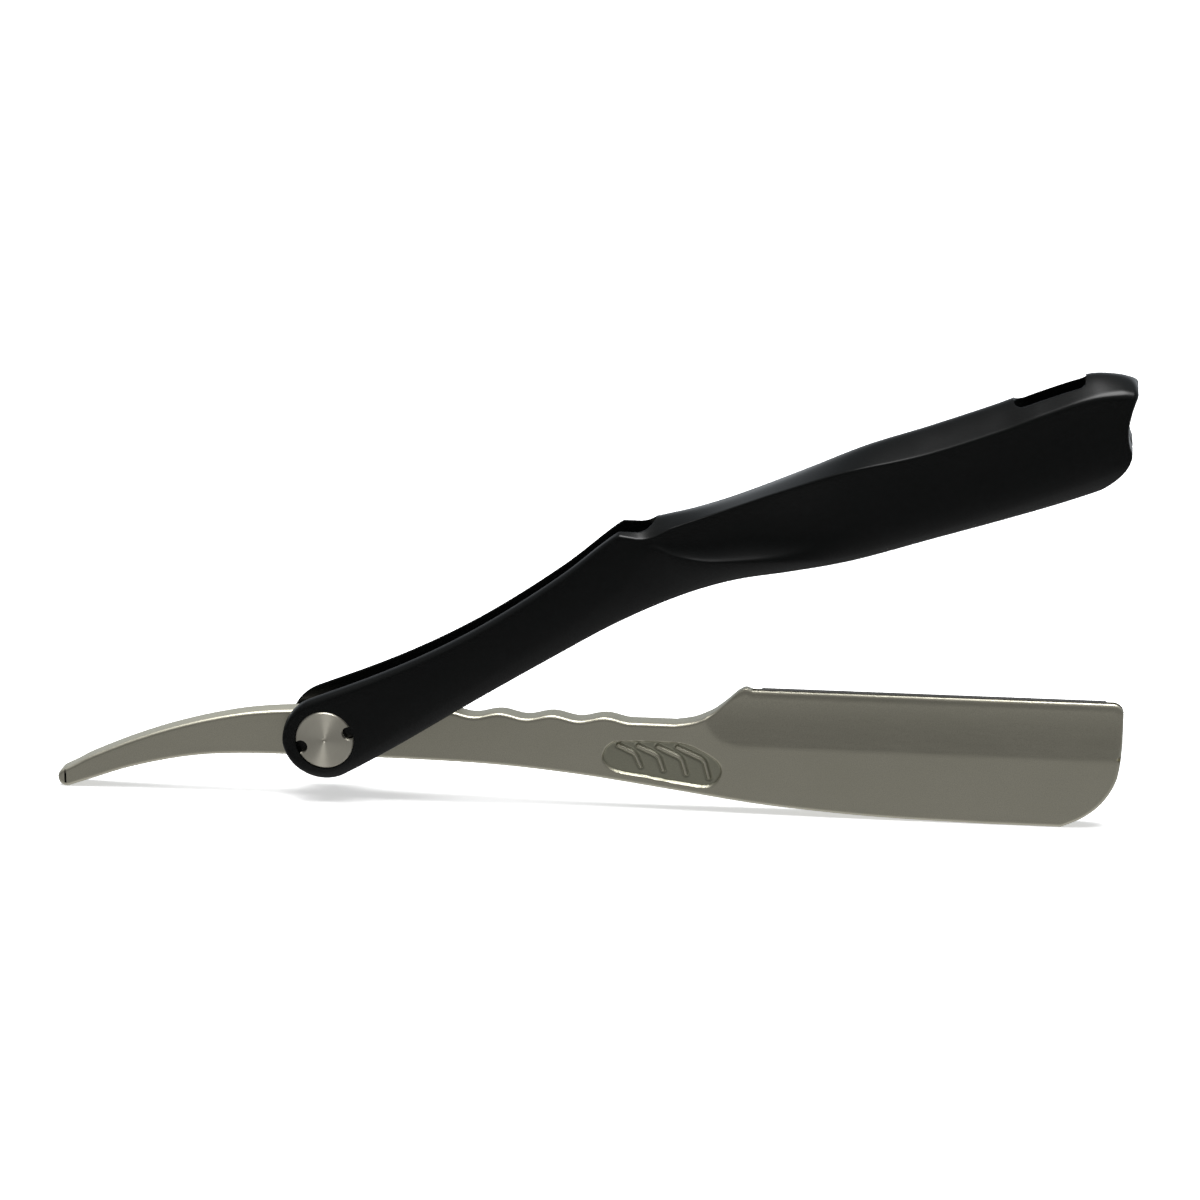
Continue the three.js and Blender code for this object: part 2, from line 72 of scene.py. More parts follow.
low, high = (Vector(corner) for corner in cad_box)
middle = (low + high) / 2
aim = middle + AIM_SHIFT
away = Vector(
    (
        math.sin(CAMERA_TURN) * math.cos(CAMERA_RISE),
        -math.cos(CAMERA_TURN) * math.cos(CAMERA_RISE),
        math.sin(CAMERA_RISE),
    )
)
camera = bpy.data.objects.new("camera", bpy.data.cameras.new("camera"))
camera.data.lens = CAMERA_LENS
camera.data.clip_end = 30
camera.location = aim + CAMERA_DISTANCE * away
camera.rotation_euler = away.to_track_quat("Z", "Y").to_euler()
bpy.context.scene.collection.objects.link(camera)
bpy.context.scene.camera = camera
bpy.context.scene.view_settings.view_transform = "Standard"


def add_node(tree, kind, inputs=None, **settings):
    """A shader node with its settings, and with a value or a link in each named input."""
    node = tree.nodes.new(kind)
    for name, value in settings.items():
        setattr(node, name, value)
    for name, value in (inputs or {}).items():
        if isinstance(value, bpy.types.NodeSocket):
            tree.links.new(value, node.inputs[name])
        else:
            node.inputs[name].default_value = value
    return node


def ramp(tree, factor, *stops):
    """A colour ramp through (place, grey or colour) stops."""
    node = add_node(tree, "ShaderNodeValToRGB", {"Fac": factor})
    while len(node.color_ramp.elements) < len(stops):
        node.color_ramp.elements.new(0.5)
    for element, (place, shade) in zip(node.color_ramp.elements, stops):
        element.position = place
        element.color = (*shade, 1) if isinstance(shade, tuple) else (shade, shade, shade, 1)
    return node.outputs["Color"]


def mesh_object(name, points, faces):
    """A mesh object from millimetre points, with doubled points joined and faces turned outwards."""
    mesh = bpy.data.meshes.new(name)
    mesh.from_pydata([tuple(point) for point in np.asarray(points) * 0.001], [], faces)
    shape = bmesh.new()
    shape.from_mesh(mesh)
    bmesh.ops.remove_doubles(shape, verts=shape.verts, dist=6e-7)
    bmesh.ops.dissolve_degenerate(shape, edges=shape.edges, dist=1e-7)
    loose = [vertex for vertex in shape.verts if not vertex.link_faces]
    bmesh.ops.delete(shape, geom=loose, context="VERTS")
    bmesh.ops.recalc_face_normals(shape, faces=shape.faces)
    shape.to_mesh(mesh)
    shape.free()
    piece = bpy.data.objects.new(name, mesh)
    bpy.context.scene.collection.objects.link(piece)
    return piece


floor = mesh_object(
    "floor",
    [(-6000, -6000, 0), (6000, -6000, 0), (6000, 6000, 0), (-6000, 6000, 0)],
    [(0, 1, 2, 3)],
)
floor.visible_glossy = False
floor_paint = bpy.data.materials.new("white_floor")
floor_paint.use_nodes = True
shader = floor_paint.node_tree.nodes["Principled BSDF"]
shader.inputs["Base Color"].default_value = (0.93, 0.93, 0.93, 1)
shader.inputs["Roughness"].default_value = 0.9
shader.inputs["Emission Color"].default_value = (1, 1, 1, 1)
shader.inputs["Emission Strength"].default_value = 0.45
floor.data.materials.append(floor_paint)

world = bpy.data.worlds.new("tent")
world.use_nodes = True
bpy.context.scene.world = world
tree = world.node_tree
look = add_node(tree, "ShaderNodeTexCoord")
split = add_node(tree, "ShaderNodeSeparateXYZ", {"Vector": look.outputs["Generated"]})
height = add_node(
    tree,
    "ShaderNodeMapRange",
    {"Value": split.outputs["Z"], "From Min": -1.0, "From Max": 1.0},
)
front = ramp(
    tree,
    height.outputs["Result"],
    (0.0, 0.2),
    (0.2, 0.12),
    (0.36, 0.041),
    (0.45, 0.042),
    (0.52, 0.03),
    (0.64, 0.026),
    (0.77, 0.05),
    (0.95, 0.1),
    (0.985, 2.9),
)
back = ramp(
    tree,
    height.outputs["Result"],
    (0.0, 0.1),
    (0.45, (0.11, 0.116, 0.122)),
    (0.60, (0.12, 0.128, 0.136)),
    (0.66, (0.1, 0.106, 0.112)),
    (0.78, (0.05, 0.054, 0.058)),
    (0.95, 0.08),
    (0.985, 2.9),
)
side = add_node(
    tree,
    "ShaderNodeMapRange",
    {"Value": split.outputs["Y"], "From Min": -0.5, "From Max": 0.5},
    interpolation_type="SMOOTHSTEP",
)
tent = add_node(tree, "ShaderNodeMix", data_type="RGBA")
tree.links.new(side.outputs["Result"], tent.inputs[0])
tree.links.new(front, tent.inputs[6])
tree.links.new(back, tent.inputs[7])
background = tree.nodes["Background"]
tree.links.new(tent.outputs[2], background.inputs["Color"])
background.inputs["Strength"].default_value = 4.3

# ---------- Blade arm ----------
# The tail, tang, shank and head are one blank of stainless steel, milled and then bead-blasted: finger waves
# on its top edge, a thumb pocket with four bent ribs on each side, and a head that is ground hollow on both
# sides and slotted from above for the blade's clip.
ARM_HALF = 2.1
TAIL_TIP = {"x": -47.35, "z": -10.23, "r": 1.6, "lean": 1.1}
SHANK_TOP = 4.05
WAVES = {"first": 16.4, "pitch": 9.25, "count": 4, "height": 0.8}
HEAD = {"heel": 73.4, "bump": 0.35, "toe": 137.95, "top": 10.4, "corner": 1.9, "belly": -11.83}
JAW_HALF = 1.05
HOLLOW = {"radius": 35, "foot": 0.8, "heel": 65.2, "round": 8}
SLOT = {"half": 0.45, "heel": 74.2, "floor": 3.2}
POCKET = {"depth": 0.45, "wall": 0.34}
RIBS = {"rise": 0.3, "half": 0.34, "first": 51.1, "pitch": 3.43, "top": -0.15, "count": 4}
RIB_SIZE = {"reach": 3, "drop": 3.65, "growth": 0.55}
RIB_GROOVE = {"deep": 0.11, "off": 0.14, "half": 0.13}
EDGE_ROUND = 0.28
JAW_ROUND = {"from": 5, "over": 4, "share": 0.51, "tall": 1.4}
RIM_BAND = 0.8
TANG_BORE = 2.6
CLIP_PIN = {"r": 0.73, "heel": 81, "toe": 129, "z": 3.9, "front": -1.3}

pivot = Vector(next(joint for joint in frame["joints"] if joint["name"] == "handle_fold")["pos_m"])


def through(points, steps=12):
    """A smooth curve through given points, as an array of points."""
    p = np.array(points, float)
    before = np.vstack([p[:1], p[:-2]])
    after = np.vstack([p[2:], p[-1:]])
    start, end = p[:-1], p[1:]
    leave, arrive = (end - before) / 2, (after - start) / 2
    t = (np.arange(steps) / steps)[None, :, None]
    start, end, leave, arrive = (value[:, None, :] for value in (start, end, leave, arrive))
    curve = (2 * start - 2 * end + leave + arrive) * t**3
    curve = curve + (3 * end - 3 * start - 2 * leave - arrive) * t**2 + leave * t + start
    return np.vstack([curve.reshape(-1, p.shape[1]), p[-1:]])


def arc(x, z, r, start, end, steps=16):
    """Points of an arc about (x, z)."""
    turn = np.linspace(start, end, steps + 1)
    return np.column_stack([x + r * np.cos(turn), z + r * np.sin(turn)])


def closeness(points, line):
    """The distance of each point from a polyline."""
    start, step = line[:-1], np.diff(line, axis=0)
    offset = points[:, None, :] - start[None]
    share = np.clip((offset * step).sum(2) / np.maximum((step**2).sum(1), 1e-12), 0, 1)
    return np.sqrt(((offset - share[..., None] * step) ** 2).sum(2).min(1))


def ease(t):
    t = np.clip(t, 0, 1)
    return t * t * (3 - 2 * t)


# The top edge, from the tail tip to the toe.
tip_x, tip_z, tip_r, lean = TAIL_TIP.values()
upper_end = (tip_x - tip_r * math.cos(lean), tip_z + tip_r * math.sin(lean))
lower_end = (tip_x + tip_r * math.cos(lean), tip_z - tip_r * math.sin(lean))
tail_top = through(
    [
        upper_end,
        (-45.9, -7.7),
        (-42.5, -5.85),
        (-35, -2.6),
        (-28, -0.1),
        (-20.6, 1.95),
        (-13, 3.4),
        (-4, 4.1),
        (8, 4.15),
        (WAVES["first"], SHANK_TOP),
    ]
)
wave_turn = np.linspace(0, 2 * math.pi * WAVES["count"], 32 * WAVES["count"])
waves = np.column_stack(
    [
        WAVES["first"] + WAVES["pitch"] * wave_turn / (2 * math.pi),
        SHANK_TOP + WAVES["height"] / 2 * (1 - np.cos(wave_turn)),
    ]
)
heel = through(
    [
        (61, SHANK_TOP),
        (64.3, 4.7),
        (67.2, 6.1),
        (69.8, 8.2),
        (71.6, 9.9),
        (HEAD["heel"] - 0.7, HEAD["top"] + HEAD["bump"] * 0.7),
        (HEAD["heel"], HEAD["top"] + HEAD["bump"]),
        (HEAD["heel"] + 1, HEAD["top"]),
    ]
)
corner = HEAD["corner"]
toe_corner = arc(HEAD["toe"] - corner, HEAD["top"] - corner, corner, math.pi / 2, 0)
tip_top = arc(tip_x, tip_z, tip_r, math.pi, math.pi - lean)
arm_top = np.vstack([tip_top, tail_top[1:], waves[1:], heel, toe_corner])

# The bottom edge, from the tail tip along the spine to the toe.
spine = through(
    [
        lower_end,
        (-42.5, -10.2),
        (-35, -7.62),
        (-25, -5.35),
        (-15, -4.44),
        (0, -4.28),
        (15, -4.29),
        (30, -4.68),
        (45, -5.93),
        (60, -7.88),
        (75, -9.88),
        (88, -10.97),
        (100, -11.55),
        (115, HEAD["belly"]),
    ]
)
belly = through(
    [
        (HEAD["toe"] - 10, HEAD["belly"]),
        (HEAD["toe"] - 6.3, -10),
        (HEAD["toe"] - 3.2, -7.3),
        (HEAD["toe"] - 0.95, -3.4),
        (HEAD["toe"] - 0.15, 1.2),
        (HEAD["toe"], 5.5),
    ]
)
tip_bottom = arc(tip_x, tip_z, tip_r, math.pi, 2 * math.pi - lean)
arm_bottom = np.vstack([tip_bottom, spine[1:], belly])
arm_outline = np.vstack([arm_top, arm_bottom[::-1]])

pocket_outline = through(
    [
        (50.2, 0.65),
        (56, 0.95),
        (62.3, 0.8),
        (65.8, -0.5),
        (68.7, -2.5),
        (69.1, -5),
        (66.8, -7.15),
        (61.4, -6.7),
        (55.2, -5.7),
        (50.4, -4.9),
        (48.3, -2.9),
        (48.8, -0.6),
        (50.2, 0.65),
    ]
)


def inside(points, outline):
    """Whether each point lies inside a closed outline, by the crossings of a level line."""
    start, end = outline[:-1], outline[1:]
    x, z = points[:, :1], points[:, 1:]
    spans = (start[:, 1] > z) != (end[:, 1] > z)
    rise = np.where(end[:, 1] == start[:, 1], 1, end[:, 1] - start[:, 1])
    crossing = start[:, 0] + (z - start[:, 1]) * (end[:, 0] - start[:, 0]) / rise
    return (spans & (x < crossing)).sum(1) % 2 == 1


def hollow_half(x, z):
    """Half the head's thickness where the grinding drum has passed, and more than the arm's elsewhere."""
    lean_in = math.atan2(ARM_HALF - JAW_HALF, HEAD["top"] - HOLLOW["foot"])
    chord = math.hypot(ARM_HALF - JAW_HALF, HEAD["top"] - HOLLOW["foot"])
    reach = math.sqrt(HOLLOW["radius"] ** 2 - (chord / 2) ** 2)
    drum_y = (ARM_HALF + JAW_HALF) / 2 + reach * math.cos(lean_in)
    drum_z = (HEAD["top"] + HOLLOW["foot"]) / 2 + reach * math.sin(lean_in)
    share = np.clip((x - HOLLOW["heel"]) / HOLLOW["round"], 0, 1)
    radius = HOLLOW["radius"] - 1.6 * (1 - np.sqrt(share * (2 - share)))
    return drum_y - np.sqrt(radius**2 - (z - drum_z) ** 2)


def pocket_dip(x, z):
    """How deep the thumb pocket is at each point, with its walls and its four bent, flat-topped ribs."""
    points = np.column_stack([x, z])
    near = (x > 46) & (x < 71) & (z < 3)
    dip = np.zeros(len(x))
    points = points[near]
    wall = closeness(points, pocket_outline) * np.where(inside(points, pocket_outline), 1, -1)
    floor_dip = POCKET["depth"] * ease(wall / POCKET["wall"])
    for i in range(RIBS["count"]):
        start = (RIBS["first"] + i * RIBS["pitch"], RIBS["top"])
        reach = RIB_SIZE["reach"] + RIB_SIZE["growth"] * i
        drop = RIB_SIZE["drop"] + RIB_SIZE["growth"] * i
        bend = (start[0] + reach, start[1] - drop * 0.4)
        before = (bend[0] - 0.55, bend[1] + 0.3)
        after = (bend[0] + 0.22, bend[1] - 0.55)
        end = (start[0] + reach + 0.9, start[1] - drop)
        stroke = np.vstack([[start], arc_between(before, bend, after), [end]])
        across = closeness(points, stroke)
        floor_dip -= RIBS["rise"] * ease((RIBS["half"] - across) / 0.16)
        beside = (across - RIBS["half"] - RIB_GROOVE["off"]) / RIB_GROOVE["half"]
        floor_dip += RIB_GROOVE["deep"] * np.exp(-(beside**2))
    dip[near] = floor_dip
    return dip


def arc_between(start, bend, end, steps=6):
    """A rounded bend that leaves start and reaches end, drawn towards the bend's own corner."""
    t = np.linspace(0, 1, steps + 1)[:, None]
    start, bend, end = (np.array(value, float) for value in (start, bend, end))
    return (1 - t) ** 2 * start + 2 * t * (1 - t) * bend + t**2 * end


def arm_half(x, z):
    """Half the arm's thickness at each point of one station, its rounded edges included."""
    ground = hollow_half(x, z)
    soft = 0.05
    gap = np.where(x > HOLLOW["heel"], ground - ARM_HALF, 9)
    half = ARM_HALF + np.minimum(gap, 0) - soft * np.exp(-((gap / 0.09) ** 2)) * 0.5
    half = half - pocket_dip(x, z)
    jaw = ease((x - HOLLOW["heel"] - JAW_ROUND["from"]) / JAW_ROUND["over"]) * (z > HOLLOW["foot"])
    edge = half * (EDGE_ROUND + (JAW_ROUND["share"] - EDGE_ROUND) * jaw)
    tall = edge + (JAW_ROUND["tall"] - edge) * jaw
    rim = closeness(np.column_stack([x, z]), arm_outline)
    rim[0] = rim[-1] = 0
    inner = np.clip(1 - rim / tall, 0, 1)
    return half - edge * (1 - np.sqrt(1 - inner**2))


# The skin is drawn as upright stations along the arm, closer together where the shape turns fast.
tip_stations = tip_x - tip_r * np.cos(np.linspace(0, math.pi / 2, 15))
toe_stations = HEAD["toe"] - 3.4 * (1 - np.sin(np.linspace(0, math.pi / 2, 26)))
stations = np.concatenate(
    [
        tip_stations,
        np.arange(-47.7, WAVES["first"], 0.45),
        np.arange(WAVES["first"], 46.8, 0.25),
        np.arange(46.8, SLOT["heel"], 0.115),
        [SLOT["heel"], SLOT["heel"]],
        np.arange(SLOT["heel"] + 0.2, toe_stations[0] - 0.2, 0.5),
        toe_stations,
    ]
)
rounding = RIM_BAND * (1 - np.cos(np.linspace(0, math.pi / 2, 9)))
rings = []
slotted = False
for x in stations:
    slotted = slotted or (rings != [] and x == SLOT["heel"] and rings[-1][0][0] == x)
    z_low = np.interp(x, arm_bottom[:, 0], arm_bottom[:, 1])
    z_high = np.interp(x, arm_top[:, 0], arm_top[:, 1])
    tall = z_high - z_low
    rim_share = min(1, 0.42 * tall / RIM_BAND) * rounding
    flat_low, flat_high = z_low + rim_share[-1], z_high - rim_share[-1]
    even = np.linspace(flat_low, flat_high, 96)
    dense = np.interp(np.linspace(0, 1, 96), (0, 0.1, 0.9, 1), (flat_low, flat_low + 0.4, 1.4, flat_high))
    crowding = ease(x - 46) * (1 - ease((x - 68.8) / 1.2))
    level = even + (dense - even) * crowding
    z = np.concatenate([z_low + rim_share, level[1:-1], z_high - rim_share[::-1]])
    half = arm_half(np.full(len(z), x), z)
    slot_half = min(SLOT["half"], half[-1] * 0.9)
    slot_floor = SLOT["floor"] if slotted else z_high
    front = [(x, -y, height) for y, height in zip(half, z)]
    back = [(x, y, height) for y, height in zip(half, z)][::-1]
    slot = [
        (x, -slot_half, z_high),
        (x, -slot_half, slot_floor),
        (x, slot_half, slot_floor),
        (x, slot_half, z_high),
    ]
    rings.append(front + slot + back)


def loft(rings, open_ends=()):
    """Points and faces of a closed skin over rings of one length, with a flat cap on each closed end."""
    count = len(rings[0])
    faces = []
    for i in range(len(rings) - 1):
        for j in range(count):
            k = (j + 1) % count
            faces.append((i * count + j, i * count + k, (i + 1) * count + k, (i + 1) * count + j))
    for end in (0, len(rings) - 1):
        if end not in open_ends:
            faces.append(tuple(range(end * count, (end + 1) * count)))
    return [point for ring in rings for point in ring], faces


def cut(piece, *cutters):
    """Cuts other pieces out of a piece and throws them away."""
    for cutter in cutters:
        tool = piece.modifiers.new("cut", "BOOLEAN")
        tool.object = cutter
        tool.operation = "DIFFERENCE"
        tool.solver = "EXACT"
    bpy.context.view_layer.update()
    made = bpy.data.meshes.new_from_object(piece.evaluated_get(bpy.context.evaluated_depsgraph_get()))
    piece.modifiers.clear()
    piece.data = made
    for cutter in cutters:
        bpy.data.objects.remove(cutter)


def turned(name, profile, segments=96):
    """A piece turned about the Y axis from (radius, y) points that start and end on the axis."""
    rings = []
    for turn in np.linspace(0, 2 * math.pi, segments, endpoint=False):
        rings.append([(r * math.cos(turn), y, r * math.sin(turn)) for r, y in profile])
    count = len(profile)
    faces = []
    for i in range(segments):
        near, far = i * count, (i + 1) % segments * count
        for j in range(count - 1):
            faces.append((near + j, near + j + 1, far + j + 1, far + j))
    return mesh_object(name, [point for ring in rings for point in ring], faces)


def drill(radius, y0, y1, x=0.0, z=0.0, segments=96):
    """A plain round cutter along Y."""
    tool = turned("drill", [(0, y0), (radius, y0), (radius, y1), (0, y1)], segments)
    tool.data.transform(Matrix.Translation((x * 0.001, 0, z * 0.001)))
    return tool


def finish_piece(piece, material, body, slot, *nodes, crease=35):
    """Shades a piece smooth up to its crease angle, gives it its finish and puts it on its body."""
    piece.data.polygons.foreach_set("use_smooth", [True] * len(piece.data.polygons))
    piece.data.set_sharp_from_angle(angle=math.radians(crease))
    piece.data.materials.clear()
    piece.data.materials.append(material)
    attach(piece, body)
    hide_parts(*nodes)


def group_socket(group, name, kind, direction, value=None):
    made = group.interface.new_socket(name=name, in_out=direction, socket_type=kind)
    if value is not None:
        made.default_value = value


def grain_group():
    """Fine grain over a surface: a height for the bump and a shade that drifts gently over the piece."""
    group = bpy.data.node_groups.new("fine_grain", "ShaderNodeTree")
    group_socket(group, "Size", "NodeSocketFloat", "INPUT", 0.15)
    group_socket(group, "Drift", "NodeSocketFloat", "INPUT", 12.0)
    group_socket(group, "Height", "NodeSocketFloat", "OUTPUT")
    group_socket(group, "Speckle", "NodeSocketFloat", "OUTPUT")
    group_socket(group, "Cloud", "NodeSocketFloat", "OUTPUT")
    inputs = group.nodes.new("NodeGroupInput")
    outputs = group.nodes.new("NodeGroupOutput")
    place = add_node(group, "ShaderNodeTexCoord").outputs["Object"]
    fine_scale = add_node(
        group,
        "ShaderNodeMath",
        {0: 1000.0, 1: inputs.outputs["Size"]},
        operation="DIVIDE",
    )
    cloud_scale = add_node(
        group,
        "ShaderNodeMath",
        {0: 1000.0, 1: inputs.outputs["Drift"]},
        operation="DIVIDE",
    )
    fine = add_node(
        group,
        "ShaderNodeTexNoise",
        {"Vector": place, "Scale": fine_scale.outputs[0], "Detail": 3.0, "Roughness": 0.65},
    )
    cloud = add_node(
        group,
        "ShaderNodeTexNoise",
        {"Vector": place, "Scale": cloud_scale.outputs[0], "Detail": 2.0},
    )
    speckle = add_node(
        group,
        "ShaderNodeMapRange",
        {"Value": fine.outputs["Fac"], "From Min": 0.3, "From Max": 0.7},
    )
    drift = add_node(
        group,
        "ShaderNodeMapRange",
        {"Value": cloud.outputs["Fac"], "From Min": 0.3, "From Max": 0.7},
    )
    group.links.new(fine.outputs["Fac"], outputs.inputs["Height"])
    group.links.new(speckle.outputs["Result"], outputs.inputs["Speckle"])
    group.links.new(drift.outputs["Result"], outputs.inputs["Cloud"])
    return group


fine_grain = grain_group()


def new_finish(name, metallic, **constants):
    """A material with its plain Principled values set, and its node tree and shader."""
    material = bpy.data.materials.new(name)
    material.use_nodes = True
    shader = material.node_tree.nodes["Principled BSDF"]
    shader.inputs["Metallic"].default_value = metallic
    for key, value in constants.items():
        shader.inputs[key.replace("_", " ")].default_value = value
    return material, material.node_tree, shader


def mix(tree, factor, first, second):
    """A colour between two colours or links."""
    node = add_node(tree, "ShaderNodeMix", data_type="RGBA")
    for index, value in ((0, factor), (6, first), (7, second)):
        if isinstance(value, bpy.types.NodeSocket):
            tree.links.new(value, node.inputs[index])
        elif isinstance(value, tuple):
            node.inputs[index].default_value = (*value, 1)
        else:
            node.inputs[index].default_value = value
    return node.outputs[2]


def satin_steel_finish(name, dark, light, cloud):
    """Bead-blasted stainless steel: warm grey, with a fine even grain and faint lengthwise brushing."""
    material, tree, shader = new_finish(name, 1.0)
    grain = add_node(tree, "ShaderNodeGroup", {}, node_tree=fine_grain)
    grain.inputs["Size"].default_value = 0.16
    grain.inputs["Drift"].default_value = 14.0
    place = add_node(tree, "ShaderNodeTexCoord").outputs["Object"]
    stretch = add_node(tree, "ShaderNodeMapping", {"Vector": place, "Scale": (160, 2600, 2600)})
    brushed = add_node(
        tree,
        "ShaderNodeTexNoise",
        {"Vector": stretch.outputs[0], "Scale": 1.0, "Detail": 2.0},
    )
    tone = mix(tree, grain.outputs["Speckle"], dark, light)
    tone = mix(tree, ramp(tree, grain.outputs["Cloud"], (0, 0.0), (1, 0.25)), tone, cloud)
    tree.links.new(tone, shader.inputs["Base Color"])
    rough = add_node(
        tree,
        "ShaderNodeMapRange",
        {"Value": brushed.outputs["Fac"], "To Min": 0.38, "To Max": 0.48},
    )
    tree.links.new(rough.outputs["Result"], shader.inputs["Roughness"])
    bump = add_node(
        tree,
        "ShaderNodeBump",
        {"Height": grain.outputs["Height"], "Strength": 0.35, "Distance": 0.00003},
    )
    tree.links.new(bump.outputs["Normal"], shader.inputs["Normal"])
    return material


satin_steel = satin_steel_finish(
    "satin_steel",
    dark=(0.53, 0.51, 0.415),
    light=(0.68, 0.655, 0.54),
    cloud=(0.52, 0.505, 0.4),
)
# A darker copy of the satin steel for the pocket's floor: painted shade for the recess.
pocket_shade_steel = satin_steel_finish(
    "pocket_shade_steel",
    dark=(0.4, 0.395, 0.31),
    light=(0.5, 0.495, 0.39),
    cloud=(0.37, 0.37, 0.28),
)
points, faces = loft(rings)
arm = mesh_object("blade_arm_finished", points, faces)
cutters = [drill(TANG_BORE, -5, 5)]
for pin_x in (CLIP_PIN["heel"], CLIP_PIN["toe"]):
    cutters.append(drill(CLIP_PIN["r"], CLIP_PIN["front"], 5, pin_x, CLIP_PIN["z"], 32))
cut(arm, *cutters)

# The pocket's floor is coined. Its steel is given a darker colour than the blasted flanks round it, as
# painted shade for the recess.
arm_faces = arm.data.polygons
middles = np.array([face.center for face in arm_faces]) * 1000
pocket_shade_faces = inside(middles[:, ::2], pocket_outline) & (np.abs(middles[:, 1]) < ARM_HALF - 0.3)
arm.data.transform(Matrix.Translation(pivot))
finish_piece(arm, satin_steel, "arm", "satin_steel", "blade_arm")
arm.data.materials.append(pocket_shade_steel)
arm_faces.foreach_set("material_index", pocket_shade_faces.astype(np.int32))

# ---------- Handle ----------
# One hollow moulding of black heat-proof resin. Two legs carry the pivot and swell into a roofed body with a
# crease along each side, a scoop for the fingers below it, a window in the roof and a fish-tailed end. Its
# sizes are in its own frame: u from the pivot to its end, w across it and v from its open foot to its roof.
OPEN_ANGLE = math.radians(22)
GAP_HALF = 3.6
LEG_HALF = 5.9
LEG_END = 7.55
LEG_END_RISE = 0.35
LEG_RIM = 0.8
SHOULDER = 62.3
FORK_END = 68.6
HANDLE_END = 153.1
CHANNEL_END = 146
BLADE_WAY = {"half": 0.65, "top": 9}
WINDOW = {"from": 132.8, "to": 145.5, "half": 3.5, "corner": 1.8}
HEAD_DISC = {"r": 5.1, "thick": 1.2, "recess": 1.3, "clearance": 0.12}
BARREL = {"outer": 2.0, "inner": 1.5}


def smooth(*pairs):
    """A smooth function through (place, value) pairs, level beyond its ends."""
    place, value = np.array(pairs, float).T
    wide_place, wide_value = np.pad(place, 1, mode="edge"), np.pad(value, 1, mode="edge")
    slope = (wide_value[2:] - wide_value[:-2]) / (wide_place[2:] - wide_place[:-2])

    def at(u):
        u = np.clip(u, place[0], place[-1])
        i = np.clip(np.searchsorted(place, u, "right") - 1, 0, len(place) - 2)
        span = place[i + 1] - place[i]
        t = (u - place[i]) / span
        level = (2 * t**3 - 3 * t**2 + 1) * value[i] + (3 * t**2 - 2 * t**3) * value[i + 1]
        return level + span * ((t**3 - 2 * t**2 + t) * slope[i] + (t**3 - t**2) * slope[i + 1])

    return at


leg_top = smooth(
    (0, LEG_END + LEG_END_RISE),
    (12, 8),
    (22, 8.6),
    (32, 9.85),
    (42, 11.85),
    (52, 14.4),
    (SHOULDER, 17.65),
)
body_top = smooth(
    (SHOULDER, 17.65),
    (70, 16.2),
    (80, 14.85),
    (91, 14.9),
    (106, 15.75),
    (118, 15.25),
    (130, 14.95),
    (137, 15.05),
    (146, 14.5),
    (150.5, 12.75),
    (HANDLE_END, 10.9),
)
foot_line = smooth(
    (0, LEG_END_RISE - LEG_END),
    (4, -6.7),
    (12, -5.4),
    (28, -2.4),
    (44, 0.35),
    (56, 2.2),
    (68, 3),
    (78, 2.45),
    (88, 0.55),
    (98, -1.05),
    (112, -2.1),
    (130, -3.4),
    (140, -3.8),
    (HANDLE_END, -3.8),
)
crease_width = smooth(
    (0, 5.4),
    (30, 5.1),
    (58, 4.8),
    (67, 5.5),
    (73, 4.9),
    (80, 4.4),
    (88, 4.7),
    (100, 6.3),
    (110, 6.85),
    (124, 6.9),
    (142, 6.8),
    (149, 6.5),
    (HANDLE_END, 5.8),
)
crease_drop = smooth(
    (0, 0.7),
    (50, 0.9),
    (61, 0.8),
    (66.2, 2.3),
    (71.5, 1.25),
    (80, 0.45),
    (90, 0.55),
    (100, 1.25),
    (112, 2.75),
    (126, 3.15),
    (146, 2.85),
    (HANDLE_END, 1.5),
)
lip_height = smooth(
    (0, -4.4),
    (20, 0.5),
    (40, 5),
    (60, 10.5),
    (67, 12.6),
    (70, 10.2),
    (74.5, 7.6),
    (80, 5.7),
    (88, 3.6),
    (96, 2.4),
    (118, 1.4),
    (HANDLE_END, 1.6),
)
lip_width = smooth(
    (0, LEG_HALF),
    (62, LEG_HALF),
    (74, 6.2),
    (88, 6.8),
    (100, 7.3),
    (118, 7.6),
    (142, 7.4),
    (HANDLE_END, 6.2),
)
side_curl = smooth(
    (0, 0.3),
    (55, 0.45),
    (64, 0.9),
    (67, 2.4),
    (70, 3.6),
    (74, 4.3),
    (80, 4),
    (88, 4.4),
    (96, 3.6),
    (106, 2.1),
)
foot_width = smooth((0, 4.9), (70, 4.7), (100, 5.1), (140, 5.1), (HANDLE_END, 4.6))
roof_under = smooth((60, 12.6), (104, 12.8), (132, 12.2), (146, 11.2), (HANDLE_END, 9.2))
crease_round = smooth(
    (0, 0.9),
    (56, 0.6),
    (66, 0.3),
    (100, 0.35),
    (130, 0.45),
    (146, 0.8),
    (HANDLE_END, 1.6),
)
lip_round = smooth((0, 2.5), (60, 2.5), (68, 0.4), (84, 0.5), (96, 2), (110, 3), (HANDLE_END, 3))


def gap_half(u, past=False):
    """Half the width of the opening in the roof: the fork gap, nothing, and then the window."""
    fork = FORK_END - GAP_HALF
    if u <= fork:
        return GAP_HALF
    if u < FORK_END:
        return math.sqrt(GAP_HALF**2 - (u - fork) ** 2)
    start, end, half, corner = WINDOW.values()
    if u < start or u > end or (u == start and not past) or (u == end and past):
        return 0.0
    into = min(u - start, end - u, corner)
    return half - corner + math.sqrt(corner**2 - (corner - into) ** 2)


